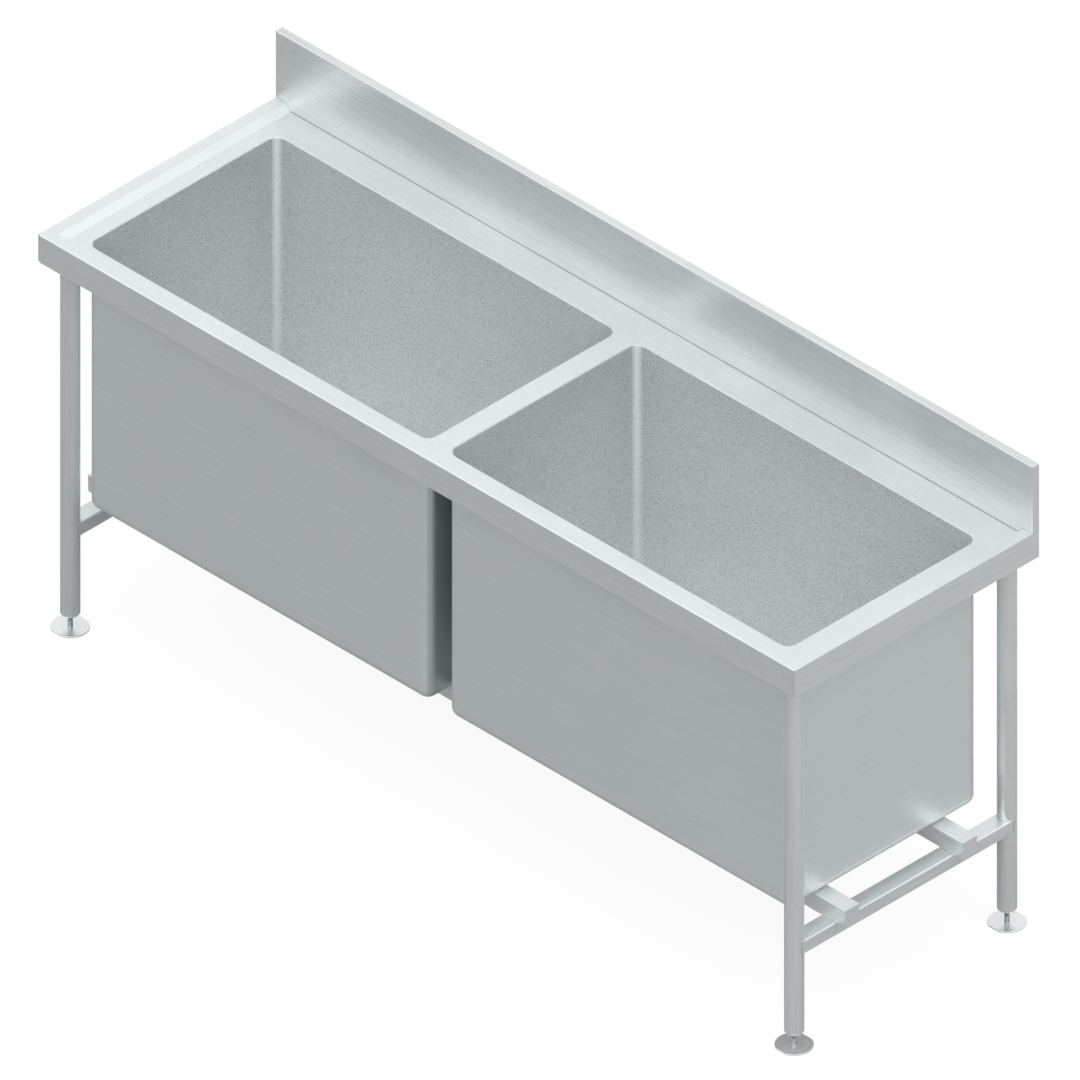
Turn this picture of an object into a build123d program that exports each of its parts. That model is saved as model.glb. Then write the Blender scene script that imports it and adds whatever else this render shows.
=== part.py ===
from build123d import *
import os
from math import atan2, degrees, radians, tan

# Free-standing double-bowl sink unit in folded stainless sheet, on four round legs.
# Millimetres. +X to the right, +Y to the back, +Z up; the origin is on the floor, at the centre.

# Driving dimensions: overall
LENGTH = 2000.0
DEPTH = 645.0
RIM_HEIGHT = 897.0           # with the feet as shown; they reach from 30 mm more to 25 mm less

# Folded top
SHEET = 1.5
BEND_RADIUS = 3.0            # outside of a fold
APRON_HEIGHT = 63.0
APRON_RETURN = 12.0          # flange turned in under the apron
BORDER_WIDTH = 26.5          # flat of the raised border
SLOPE_RUN = 13.0             # border down to the deck, in plan
DECK_DROP = 13.0
REAR_LAP = 28.0              # flange at the deck's back, below the deck

# End plates
END_THICKNESS = 3.0
END_HEIGHT = 60.0            # below the border
SEAM_GAP = 0.5               # open seam from the front apron to the end plate

# Splashback
SPLASH_RISE = 152.0          # above the border
SPLASH_THICKNESS = 17.0

# Bowls
BOWL_WIDTH = 500.0
BOWL_DEPTH = 601.5           # deck to floor
BOWL_SPACING = 52.0          # from the inside of one bowl to the inside of the other
BOWL_SETBACK = 56.5          # front of the unit to the inside of the bowls
BOWL_CORNER = 22.0
BOWL_FLOOR_RADIUS = 21.0
BOWL_REVEAL = 2.0            # width of the bowl's lip that shows inside the deck's opening
BOWL_LIP = 5.0

# Waste outlets
RECESS_RADIUS = 58.0
RECESS_DEPTH = 3.5
WASTE_FLANGE = 2.0           # thickness of the waste's flange
WASTE_FLANGE_GAP = 2.0       # flange to the wall of the recess
CUP_RADIUS = 42.0
CUP_WALL = 2.0
CUP_DEPTH = 45.0
CUP_HOLE_GAP = 1.0           # cup to the hole in the bowl
OUTLET_RADIUS = 23.9         # 1 1/2 inch pipe thread, outside
OUTLET_BORE = 20.5
OUTLET_LENGTH = 25.0
GASKET_THICKNESS = 3.0
GASKET_WIDTH = 11.0
BACKNUT_HEIGHT = 10.0
BACKNUT_WALL = 8.0
BACKNUT_LUG = 5.0
LUG_WIDTH = 12.0
LUG_COUNT = 6

# Lift-out strainers
STRAINER_GAP = 2.0           # basket to cup
STRAINER_WALL = 1.2
STRAINER_HEIGHT = 30.0
STRAINER_TAPER = 4.0         # narrower at the bottom by
STRAINER_RIM_DROP = 1.5      # rim below the waste's flange
SLOT_WIDTH = 3.0
SLOT_COUNT = 12
SLOT_INNER_RADIUS = 10.0
SLOT_MARGIN = 4.0            # metal left at each end of a slot
POST_RADIUS = 4.0
KNOB_RADIUS = 9.0
KNOB_HEIGHT = 6.0
KNOB_RISE = 4.0              # underside of the knob above the basket's rim
STOPPER_RADIUS = 25.0
STOPPER_THICKNESS = 5.0
STOPPER_GAP = 0.2            # stopper to the cup's floor

# Legs and their fittings
LEG_DIAMETER = 38.1
LEG_WALL = 1.5
LEG_INSET = 43.5             # leg centre to the end of the unit
LEG_SETBACK = 41.3           # leg centre to the front and the back of the unit
LEG_CLEARANCE = 0.1          # leg in its socket
SOCKET_WALL = 1.85
SOCKET_HEIGHT = 40.0
SOCKET_CROWN = 3.0
CHANNEL_HEIGHT = 15.0
CHANNEL_WALL = 1.5
CHANNEL_SOCKET_GAP = 0.5     # channel's flanges to the sockets between them
CHANNEL_LIP_GAP = 1.0        # channel to the lip of the bowl beside it
CHANNEL_END_GAP = 1.0        # channel to the folds of the front apron and the rear flange
SCREW_RADIUS = 4.0
SCREW_CLEARANCE = 0.1
SCREW_RISE = 13.0            # screw axis above the socket's mouth
SCREW_HEAD_RADIUS = 7.5      # across the corners, halved
SCREW_HEAD_HEIGHT = 5.3

# Feet
INSERT_HEIGHT = 31.0         # floor to the underside of the leg's insert
INSERT_RIM = 5.0
INSERT_RIM_RADIUS = 4.5
INSERT_SPIGOT = 30.0
INSERT_CLEARANCE = 0.05
PAD_DIAMETER = 74.0
PAD_FLATS = 69.2
PAD_THICKNESS = 2.5
PAD_EDGE_RADIUS = 0.8
STEM_RADIUS = 5.0
STEM_LENGTH = 87.0
STEM_CLEARANCE = 0.08
STEM_CHAMFER = 1.0
STEM_FLATS = 8.0             # spanner size
STEM_FLATS_RISE = 3.0        # above the pad
STEM_FLATS_HEIGHT = 7.0
STEM_SEAT_GAP = 0.1
PIVOT_RADIUS = 3.0
PIVOT_CLEARANCE = 0.08
PIVOT_HEAD_RADIUS = 5.0
PIVOT_HEAD_HEIGHT = 0.8
PIVOT_RECESS = 1.2           # hollow under the pad for the pivot's head
PIVOT_RECESS_GAP = 0.3

# Underframe
RAIL_WIDTH = 38.0
RAIL_HEIGHT = 30.0
RAIL_RADIUS = 3.0
CROSSBAR_SIZE = 38.0
CROSSBAR_RADIUS = 1.0
TUBE_WALL = 1.5
CROSSBAR_INSET = 94.5        # crossbar centre from the bowl's front and back walls
CAP_THICKNESS = 1.5
WELD_GAP = 0.1               # rail's coped end to the leg

# Heights and places that follow from the sizes above
HALF_LENGTH = LENGTH / 2
END_X = HALF_LENGTH - END_THICKNESS                # folded sheets to the end plates
FRONT = -DEPTH / 2
BACK = DEPTH / 2
SPLASH_FRONT = BACK - SPLASH_THICKNESS
SPLASH_TOP = RIM_HEIGHT + SPLASH_RISE
APRON_BOTTOM = RIM_HEIGHT - APRON_HEIGHT
END_BOTTOM = RIM_HEIGHT - END_HEIGHT
DECK_HEIGHT = RIM_HEIGHT - DECK_DROP
DECK_UNDERSIDE = DECK_HEIGHT - SHEET
LAP_BOTTOM = DECK_HEIGHT - REAR_LAP
SLOPE_ANGLE = degrees(atan2(DECK_DROP, SLOPE_RUN))

LEG_RADIUS = LEG_DIAMETER / 2
LEG_X = HALF_LENGTH - LEG_INSET
LEG_Y = DEPTH / 2 - LEG_SETBACK
SOCKET_BORE = LEG_RADIUS + LEG_CLEARANCE
SOCKET_RADIUS = SOCKET_BORE + SOCKET_WALL
CHANNEL_HALF_WIDTH = SOCKET_RADIUS + CHANNEL_SOCKET_GAP + CHANNEL_WALL

BOWL_BRIM = SHEET + BOWL_LIP                       # inside of the bowl to the outside of its lip
BOWL_OUTER_END = LEG_X - CHANNEL_HALF_WIDTH - CHANNEL_LIP_GAP - BOWL_BRIM
BOWL_LENGTH = BOWL_OUTER_END - BOWL_SPACING / 2    # what the legs' channels leave for it
BOWL_X = (BOWL_OUTER_END + BOWL_SPACING / 2) / 2
BOWL_Y = FRONT + BOWL_SETBACK + BOWL_WIDTH / 2
BOWL_FLOOR = DECK_HEIGHT - BOWL_DEPTH
BOWL_UNDERSIDE = BOWL_FLOOR - SHEET

RECESS_FLOOR = BOWL_FLOOR - RECESS_DEPTH
RECESS_UNDERSIDE = RECESS_FLOOR - SHEET
WASTE_HOLE_RADIUS = CUP_RADIUS + CUP_HOLE_GAP
WASTE_FLANGE_RADIUS = RECESS_RADIUS - WASTE_FLANGE_GAP
WASTE_TOP = RECESS_FLOOR + WASTE_FLANGE
CUP_FLOOR = RECESS_FLOOR - CUP_DEPTH
CUP_UNDERSIDE = CUP_FLOOR - CUP_WALL
OUTLET_END = CUP_UNDERSIDE - OUTLET_LENGTH
GASKET_UNDERSIDE = RECESS_UNDERSIDE - GASKET_THICKNESS

CHANNEL_UNDERSIDE = DECK_UNDERSIDE - CHANNEL_WALL
SOCKET_MOUTH = CHANNEL_UNDERSIDE - SOCKET_HEIGHT
LEG_TOP = CHANNEL_UNDERSIDE - SOCKET_CROWN
LEG_BOTTOM = INSERT_HEIGHT + INSERT_RIM

CROSSBAR_TOP = BOWL_UNDERSIDE
RAIL_TOP = CROSSBAR_TOP - CROSSBAR_SIZE
CROSSBAR_OFFSET = BOWL_WIDTH / 2 - CROSSBAR_INSET

SIDES = {"left": -1, "right": 1}
ENDS = {"front": -1, "back": 1}


# Small helpers

def block(x0, x1, y0, y1, z0, z1):
    """A plain block between two opposite corners."""
    return Pos((x0 + x1) / 2, (y0 + y1) / 2, (z0 + z1) / 2) * Box(x1 - x0, y1 - y0, z1 - z0)


def disc(radius, z0, z1):
    """An upright cylinder on the Z axis, between two heights."""
    return Pos(0, 0, (z0 + z1) / 2) * Cylinder(radius, z1 - z0)


def outline(points, rounded=(), radius=0.0):
    """A closed outline, with the corners nearest to the points in `rounded` made round."""
    face = make_face(Polyline(*points, close=True))
    for corner in rounded:
        face = fillet(face.vertices().sort_by_distance(Vector(*corner))[0], radius)
    return face


def along_x(section, x0, x1):
    """Sweeps a (Y, Z) section straight from x0 to x1."""
    return extrude(Plane.YZ.offset(x0) * section, x1 - x0, dir=(1, 0, 0))


def along_y(section, y0, y1):
    """Sweeps an (X, Z) section straight from y0 to y1."""
    return extrude(Plane.XZ.offset(-y0) * section, y1 - y0, dir=(0, 1, 0))


def turned(points):
    """A ring or a cup turned about the Z axis from (radius, Z) points."""
    return revolve(Plane.XZ * make_face(Polyline(*points, close=True)), Axis.Z)


def box_section(width, height, radius, wall):
    """The section of a rectangular tube, rounded outside, and inside where the wall leaves a radius."""
    inside = Rectangle(width - 2 * wall, height - 2 * wall)
    if radius > wall:
        inside = RectangleRounded(width - 2 * wall, height - 2 * wall, radius - wall)
    return RectangleRounded(width, height, radius) - inside


# Folded top

def border_points(edge, inward, inset, bottom):
    """The section of one border: apron face, flat, slope, and straight down from the slope."""
    shift = inset * tan(radians(SLOPE_ANGLE / 2))
    face = edge + inward * inset
    crest = edge + inward * (BORDER_WIDTH - shift)
    foot = edge + inward * (BORDER_WIDTH + SLOPE_RUN - shift)
    rim = RIM_HEIGHT - inset
    return [(face, bottom), (face, rim), (crest, rim), (foot, DECK_HEIGHT - inset), (foot, bottom)]


def top_envelope(inset, bottom):
    """The block that rounds the top's front fold."""
    front, back, rim = FRONT + inset, SPLASH_FRONT - inset, RIM_HEIGHT - inset
    points = [(front, bottom), (front, rim), (back, rim), (back, bottom)]
    return along_x(outline(points, [(front, rim)], BEND_RADIUS - inset), -HALF_LENGTH, HALF_LENGTH)


def top_form(inset, bottom):
    """The top as a full block whose skin lies `inset` inside the sheet's outer face."""
    front, back = FRONT + inset, SPLASH_FRONT - inset
    deck = DECK_HEIGHT - inset
    section = border_points(FRONT, 1, inset, bottom)[:4] + [(back, deck), (back, bottom)]
    form = along_x(outline(section, [(back, deck)], BEND_RADIUS - inset), -HALF_LENGTH, HALF_LENGTH)
    for side in SIDES.values():
        border = outline(border_points(side * HALF_LENGTH, -side, inset, bottom))
        form += along_y(border, front, back)
    return form & top_envelope(inset, bottom)


def deck_opening():
    """The cut in the deck for one bowl, wider than the bowl so that a little of its lip shows."""
    return RectangleRounded(BOWL_LENGTH + 2 * BOWL_REVEAL, BOWL_WIDTH + 2 * BOWL_REVEAL,
                            BOWL_CORNER + BOWL_REVEAL)


def make_sink_top():
    """Deck with its raised border, front apron, rear flange and two openings, cut off at the end plates."""
    top = top_form(0, APRON_BOTTOM) - top_form(SHEET, APRON_BOTTOM + SHEET)
    top &= block(-END_X, END_X, FRONT, SPLASH_FRONT, APRON_BOTTOM, RIM_HEIGHT)
    inner_front = FRONT + APRON_RETURN
    beyond = SPLASH_FRONT + SHEET
    top -= block(-END_X, END_X, inner_front, beyond, APRON_BOTTOM - SHEET, APRON_BOTTOM + 2 * SHEET)
    top -= block(-END_X, END_X, SPLASH_FRONT - 2 * SHEET, beyond, APRON_BOTTOM - SHEET, LAP_BOTTOM)
    for side in SIDES.values():
        top -= Pos(side * BOWL_X, BOWL_Y, DECK_HEIGHT - 2 * SHEET) * extrude(deck_opening(), 4 * SHEET)
        near, far = sorted((side * (END_X - SEAM_GAP), side * END_X))
        top -= block(near, far, FRONT - SHEET, FRONT + BEND_RADIUS, APRON_BOTTOM - SHEET, RIM_HEIGHT + SHEET)
    return top


# Splashback and end plates

def splash_outline(inset, bottom):
    """The splashback's section, rounded at its upper front fold and square at the seam behind it."""
    front, back, top = SPLASH_FRONT + inset, BACK - inset, SPLASH_TOP - inset
    points = [(front, bottom), (front, top), (back, top), (back, bottom)]
    return outline(points, [(front, top)], BEND_RADIUS - inset)


def make_splashback():
    """Front wall, top and back wall of sheet, the back wall down to the apron's edge."""
    wall = along_x(splash_outline(0, APRON_BOTTOM), -END_X, END_X)
    wall -= along_x(splash_outline(SHEET, APRON_BOTTOM + SHEET), -END_X, END_X)
    below = APRON_BOTTOM - SHEET
    wall -= block(-END_X, END_X, SPLASH_FRONT - SHEET, SPLASH_FRONT + 2 * SHEET, below, LAP_BOTTOM)
    wall -= block(-END_X, END_X, SPLASH_FRONT - SHEET, BACK - APRON_RETURN, below, APRON_BOTTOM + 2 * SHEET)
    return wall


def make_end_plate(side):
    """The square-edged plate that closes one end of the top and of the splashback."""
    inner, outer = sorted((side * END_X, side * HALF_LENGTH))
    points = [(FRONT, END_BOTTOM), (FRONT, RIM_HEIGHT), (SPLASH_FRONT, RIM_HEIGHT),
              (SPLASH_FRONT, SPLASH_TOP), (BACK, SPLASH_TOP), (BACK, END_BOTTOM)]
    return along_x(outline(points), inner, outer)


# Bowls

def bowl_form(grow, floor, top):
    """A bowl's inner space, or with `grow` its outer form, as a full block."""
    plan = RectangleRounded(BOWL_LENGTH + 2 * grow, BOWL_WIDTH + 2 * grow, BOWL_CORNER + grow)
    body = extrude(Pos(0, 0, floor) * plan, top - floor)
    return fillet(body.faces().sort_by(Axis.Z)[0].edges(), BOWL_FLOOR_RADIUS + grow)


def make_bowl(side):
    """A deep bowl with a lip under the deck and a recess for its waste."""
    lip_plan = RectangleRounded(BOWL_LENGTH + 2 * BOWL_BRIM, BOWL_WIDTH + 2 * BOWL_BRIM,
                                BOWL_CORNER + BOWL_BRIM)
    bowl = bowl_form(SHEET, BOWL_UNDERSIDE, DECK_UNDERSIDE)
    bowl += extrude(Pos(0, 0, DECK_UNDERSIDE - SHEET) * lip_plan, SHEET)
    bowl += disc(RECESS_RADIUS + SHEET, RECESS_UNDERSIDE, BOWL_FLOOR)
    bowl -= bowl_form(0, BOWL_FLOOR, DECK_HEIGHT)
    bowl -= disc(RECESS_RADIUS, RECESS_FLOOR, BOWL_FLOOR + SHEET)
    bowl -= disc(WASTE_HOLE_RADIUS, RECESS_UNDERSIDE - SHEET, BOWL_FLOOR)
    return Pos(side * BOWL_X, BOWL_Y, 0) * bowl


# Waste outlets

def at_waste(side, shape):
    """Puts a shape made on the Z axis under the middle of a bowl."""
    return Pos(side * BOWL_X, BOWL_Y, 0) * shape


def make_waste_body(side):
    """Flange, cup and outlet pipe of a basket waste, turned in one piece."""
    cup_inner = CUP_RADIUS - CUP_WALL
    points = [
        (cup_inner, WASTE_TOP), (WASTE_FLANGE_RADIUS - WASTE_FLANGE, WASTE_TOP),
        (WASTE_FLANGE_RADIUS, RECESS_FLOOR), (CUP_RADIUS, RECESS_FLOOR),
        (CUP_RADIUS, CUP_UNDERSIDE), (OUTLET_RADIUS, CUP_UNDERSIDE),
        (OUTLET_RADIUS, OUTLET_END), (OUTLET_BORE, OUTLET_END),
        (OUTLET_BORE, CUP_FLOOR), (cup_inner, CUP_FLOOR),
    ]
    return at_waste(side, turned(points))


def make_waste_gasket(side):
    """Rubber ring between the bowl's recess and the backnut."""
    ring = disc(WASTE_HOLE_RADIUS + GASKET_WIDTH, GASKET_UNDERSIDE, RECESS_UNDERSIDE)
    ring -= disc(WASTE_HOLE_RADIUS, GASKET_UNDERSIDE, RECESS_UNDERSIDE)
    return at_waste(side, ring)


def make_waste_backnut(side):
    """Lugged ring nut that clamps the waste up against the bowl."""
    outer = CUP_RADIUS + BACKNUT_WALL
    low, high = GASKET_UNDERSIDE - BACKNUT_HEIGHT, GASKET_UNDERSIDE
    nut = disc(outer, low, high)
    lug = block(0, outer + BACKNUT_LUG, -LUG_WIDTH / 2, LUG_WIDTH / 2, low, high)
    for index in range(LUG_COUNT):
        nut += Rot(0, 0, index * 360 / LUG_COUNT) * lug
    return at_waste(side, nut - disc(CUP_RADIUS + SCREW_CLEARANCE, low, high))


# Lift-out strainers

STRAINER_RADIUS = CUP_RADIUS - CUP_WALL - STRAINER_GAP
STRAINER_TOP = WASTE_TOP - STRAINER_RIM_DROP
STRAINER_BOTTOM = STRAINER_TOP - STRAINER_HEIGHT
STOPPER_UNDERSIDE = CUP_FLOOR + STOPPER_GAP
STOPPER_TOP = STOPPER_UNDERSIDE + STOPPER_THICKNESS
KNOB_UNDERSIDE = STRAINER_TOP + KNOB_RISE


def strainer_basket():
    """Tapered basket with radial slots in its floor and upright slots in its wall."""
    foot = STRAINER_RADIUS - STRAINER_TAPER
    floor = STRAINER_BOTTOM + STRAINER_WALL
    basket = turned([
        (0, STRAINER_BOTTOM), (foot, STRAINER_BOTTOM), (STRAINER_RADIUS, STRAINER_TOP),
        (STRAINER_RADIUS - STRAINER_WALL, STRAINER_TOP), (foot - STRAINER_WALL, floor), (0, floor),
    ])
    half = SLOT_WIDTH / 2
    low, high = STRAINER_BOTTOM + SLOT_MARGIN, STRAINER_TOP - SLOT_MARGIN
    floor_slot = block(SLOT_INNER_RADIUS, foot - SLOT_MARGIN, -half, half,
                       STRAINER_BOTTOM - STRAINER_WALL, floor + STRAINER_WALL)
    wall_slot = block(foot - SLOT_MARGIN, STRAINER_RADIUS + STRAINER_WALL, -half, half, low, high)
    for index in range(SLOT_COUNT):
        step = 360 / SLOT_COUNT
        basket -= Rot(0, 0, index * step) * floor_slot
        basket -= Rot(0, 0, (index + 0.5) * step) * wall_slot
    return basket


def make_strainer(side):
    """Basket, centre post and knob, lifted out by the knob."""
    knob = disc(KNOB_RADIUS, KNOB_UNDERSIDE, KNOB_UNDERSIDE + KNOB_HEIGHT)
    knob = fillet(knob.faces().sort_by(Axis.Z)[-1].edges(), KNOB_HEIGHT / 2)
    post = disc(POST_RADIUS, STOPPER_TOP, KNOB_UNDERSIDE + KNOB_HEIGHT / 2)
    return at_waste(side, strainer_basket() + post + knob)


def make_stopper(side):
    """Rubber disc under the basket that closes the outlet."""
    rubber = disc(STOPPER_RADIUS, STOPPER_UNDERSIDE, STOPPER_TOP)
    return at_waste(side, chamfer(rubber.faces().sort_by(Axis.Z)[0].edges(), STOPPER_THICKNESS / 4))


# Legs and their fittings

def at_leg(side, end, shape):
    """Puts a shape made on the Z axis on a leg's axis."""
    return Pos(side * LEG_X, end * LEG_Y, 0) * shape


def make_leg(side, end):
    """Round tube from the foot insert up into the socket."""
    tube = disc(LEG_RADIUS, LEG_BOTTOM, LEG_TOP) - disc(LEG_RADIUS - LEG_WALL, LEG_BOTTOM, LEG_TOP)
    return at_leg(side, end, tube)


def make_leg_socket(side, end):
    """Closed cup that takes the top of a leg, with a hole for its clamping screw."""
    cup = disc(SOCKET_RADIUS, SOCKET_MOUTH, CHANNEL_UNDERSIDE) - disc(SOCKET_BORE, SOCKET_MOUTH, LEG_TOP)
    hole = Pos(0, -end * SOCKET_RADIUS, SOCKET_MOUTH + SCREW_RISE) * Rot(90, 0, 0) * Cylinder(
        SCREW_RADIUS + SCREW_CLEARANCE, 4 * SOCKET_WALL)
    return at_leg(side, end, cup - hole)


def leg_screw(side, end):
    """Hexagon-head screw that clamps one leg in its socket, from the middle of the unit."""
    head = extrude(RegularPolygon(SCREW_HEAD_RADIUS, 6), SCREW_HEAD_HEIGHT)
    shank = disc(SCREW_RADIUS, LEG_RADIUS - SOCKET_RADIUS, 0)
    screw = Pos(0, -end * SOCKET_RADIUS, SOCKET_MOUTH + SCREW_RISE) * Rot(end * 90, 0, 0) * (head + shank)
    return at_leg(side, end, screw)


def make_leg_screws():
    """The four clamping screws, one for each leg."""
    return Compound([leg_screw(side, end).solid() for side in SIDES.values() for end in ENDS.values()])


def make_top_channel(side):
    """Inverted channel under the deck's end strip, which carries two leg sockets."""
    front = FRONT + BEND_RADIUS + CHANNEL_END_GAP
    back = SPLASH_FRONT - BEND_RADIUS - CHANNEL_END_GAP
    centre, half = side * LEG_X, CHANNEL_HALF_WIDTH
    inner = half - CHANNEL_WALL
    low = DECK_UNDERSIDE - CHANNEL_HEIGHT
    channel = block(centre - half, centre + half, front, back, low, DECK_UNDERSIDE)
    return channel - block(centre - inner, centre + inner, front, back, low, CHANNEL_UNDERSIDE)


# Feet

def make_leg_insert(side, end):
    """Plug in the leg's lower end, bored for the foot's stem."""
    rim = disc(LEG_RADIUS, INSERT_HEIGHT, LEG_BOTTOM)
    rim = fillet(rim.faces().sort_by(Axis.Z)[0].edges(), INSERT_RIM_RADIUS)
    plug = rim + disc(LEG_RADIUS - LEG_WALL - INSERT_CLEARANCE, LEG_BOTTOM, LEG_BOTTOM + INSERT_SPIGOT)
    bore = disc(STEM_RADIUS + STEM_CLEARANCE, INSERT_HEIGHT, LEG_BOTTOM + INSERT_SPIGOT)
    return at_leg(side, end, plug - bore)


def make_foot_pad(side, end):
    """Round pad with two flats, and a hollow underneath for the pivot's head."""
    pad = disc(PAD_DIAMETER / 2, 0, PAD_THICKNESS)
    half = PAD_FLATS / 2
    pad &= block(-PAD_DIAMETER, PAD_DIAMETER, -half, half, 0, PAD_THICKNESS)
    pad = fillet(pad.faces().sort_by(Axis.Z)[-1].edges(), PAD_EDGE_RADIUS)
    pad -= disc(PIVOT_RADIUS + PIVOT_CLEARANCE, 0, PAD_THICKNESS)
    pad -= disc(PIVOT_HEAD_RADIUS + PIVOT_RECESS_GAP, 0, PIVOT_RECESS)
    return at_leg(side, end, pad)


def make_foot_stem(side, end):
    """Threaded stem with spanner flats, riveted to its pad by a pivot so that it can turn."""
    shoulder = PAD_THICKNESS + STEM_SEAT_GAP
    top = shoulder + STEM_LENGTH
    shaft = disc(STEM_RADIUS, shoulder, top)
    shaft = chamfer(shaft.faces().sort_by(Axis.Z)[-1].edges(), STEM_CHAMFER)
    low = PAD_THICKNESS + STEM_FLATS_RISE
    for face in (-1, 1):
        near, far = sorted((face * STEM_FLATS / 2, face * 2 * STEM_RADIUS))
        shaft -= block(near, far, -STEM_RADIUS, STEM_RADIUS, low, low + STEM_FLATS_HEIGHT)
    head_top = PIVOT_RECESS - STEM_SEAT_GAP
    shaft += disc(PIVOT_RADIUS, head_top, shoulder)
    shaft += disc(PIVOT_HEAD_RADIUS, head_top - PIVOT_HEAD_HEIGHT, head_top)
    return at_leg(side, end, shaft)


# Underframe

def make_side_rail(side):
    """Rectangular tube between a front and a back leg, its ends coped round them."""
    section = Pos(side * LEG_X, RAIL_TOP - RAIL_HEIGHT / 2) * box_section(
        RAIL_WIDTH, RAIL_HEIGHT, RAIL_RADIUS, TUBE_WALL)
    rail = along_y(section, -LEG_Y, LEG_Y)
    cope = disc(LEG_RADIUS + WELD_GAP, RAIL_TOP - 2 * RAIL_HEIGHT, RAIL_TOP + RAIL_HEIGHT)
    for end in ENDS.values():
        rail -= at_leg(side, end, cope)
    return rail


def crossbar_centre(end):
    """Where a crossbar's section has its centre, as (Y, Z)."""
    return BOWL_Y + end * CROSSBAR_OFFSET, CROSSBAR_TOP - CROSSBAR_SIZE / 2


def make_crossbar(end):
    """Square tube along the whole unit, which the bowls stand on."""
    section = Pos(*crossbar_centre(end)) * box_section(
        CROSSBAR_SIZE, CROSSBAR_SIZE, CROSSBAR_RADIUS, TUBE_WALL)
    reach = HALF_LENGTH - CAP_THICKNESS
    return along_x(section, -reach, reach)


def make_crossbar_cap(side, end):
    """Plate that closes one end of a crossbar."""
    section = Pos(*crossbar_centre(end)) * RectangleRounded(CROSSBAR_SIZE, CROSSBAR_SIZE, CROSSBAR_RADIUS)
    inner, outer = sorted((side * (HALF_LENGTH - CAP_THICKNESS), side * HALF_LENGTH))
    return along_x(section, inner, outer)


# The whole unit, piece by piece

def make_parts():
    """All pieces by the names of their nodes."""
    parts = {"sink_top": make_sink_top(), "splashback": make_splashback(), "leg_screws": make_leg_screws()}
    for name, side in SIDES.items():
        parts[f"end_plate_{name}"] = make_end_plate(side)
        parts[f"bowl_{name}"] = make_bowl(side)
        parts[f"waste_body_{name}"] = make_waste_body(side)
        parts[f"waste_gasket_{name}"] = make_waste_gasket(side)
        parts[f"waste_backnut_{name}"] = make_waste_backnut(side)
        parts[f"strainer_{name}"] = make_strainer(side)
        parts[f"strainer_stopper_{name}"] = make_stopper(side)
        parts[f"top_channel_{name}"] = make_top_channel(side)
        parts[f"side_rail_{name}"] = make_side_rail(side)
    for name, end in ENDS.items():
        parts[f"crossbar_{name}"] = make_crossbar(end)
    for end_name, end in ENDS.items():
        for side_name, side in SIDES.items():
            corner = f"{end_name}_{side_name}"
            parts[f"leg_{corner}"] = make_leg(side, end)
            parts[f"leg_socket_{corner}"] = make_leg_socket(side, end)
            parts[f"leg_insert_{corner}"] = make_leg_insert(side, end)
            parts[f"foot_pad_{corner}"] = make_foot_pad(side, end)
            parts[f"foot_stem_{corner}"] = make_foot_stem(side, end)
            parts[f"crossbar_cap_{corner}"] = make_crossbar_cap(side, end)
    return parts


os.makedirs("parts", exist_ok=True)
for part_name, shape in make_parts().items():
    export_step(shape, f"parts/{part_name}.step")
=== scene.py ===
"""Dresses the double-bowl sink unit: steel finishes, threads, weld beads, studio and camera."""

import logging
import math
from collections.abc import Iterable, Mapping, Sequence
from dataclasses import dataclass
from enum import Enum
from typing import Any

import bmesh
import bpy
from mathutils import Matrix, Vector

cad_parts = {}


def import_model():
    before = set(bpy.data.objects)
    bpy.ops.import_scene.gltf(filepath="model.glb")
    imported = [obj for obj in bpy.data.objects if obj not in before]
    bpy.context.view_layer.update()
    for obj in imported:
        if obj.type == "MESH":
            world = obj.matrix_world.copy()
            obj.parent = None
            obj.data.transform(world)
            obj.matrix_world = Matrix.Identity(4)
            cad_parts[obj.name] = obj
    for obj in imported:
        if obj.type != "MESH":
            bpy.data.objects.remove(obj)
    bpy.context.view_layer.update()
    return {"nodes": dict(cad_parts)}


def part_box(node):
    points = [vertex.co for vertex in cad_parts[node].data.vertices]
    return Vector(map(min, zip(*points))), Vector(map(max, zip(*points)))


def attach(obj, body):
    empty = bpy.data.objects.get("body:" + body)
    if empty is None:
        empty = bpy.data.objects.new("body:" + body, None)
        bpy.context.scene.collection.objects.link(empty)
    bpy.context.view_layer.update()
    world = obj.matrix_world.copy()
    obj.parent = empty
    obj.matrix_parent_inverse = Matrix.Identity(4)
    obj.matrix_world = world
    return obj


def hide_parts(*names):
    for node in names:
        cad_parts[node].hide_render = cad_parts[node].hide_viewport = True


LOG = logging.getLogger("sink_unit")

MM = 0.001
WHITE = (1.0, 1.0, 1.0, 1.0)
SIDES = {"left": -1, "right": 1}
ENDS = {"front": -1, "back": 1}
CORNERS = [f"{end}_{side}" for end in ENDS for side in SIDES]

Point = tuple[float, float, float]
Nodes = Mapping[str, bpy.types.Object]


# Small tools

def linear(colour: str) -> tuple[float, float, float, float]:
    """Turns an sRGB hex colour into linear red, green, blue and alpha.

    Args:
        colour: six hex digits after a hash.

    Returns:
        The linear colour, fully opaque.
    """
    shares = [int(colour[i:i + 2], 16) / 255 for i in (1, 3, 5)]
    red, green, blue = (s / 12.92 if s <= 0.04045 else ((s + 0.055) / 1.055) ** 2.4 for s in shares)
    return red, green, blue, 1.0


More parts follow.
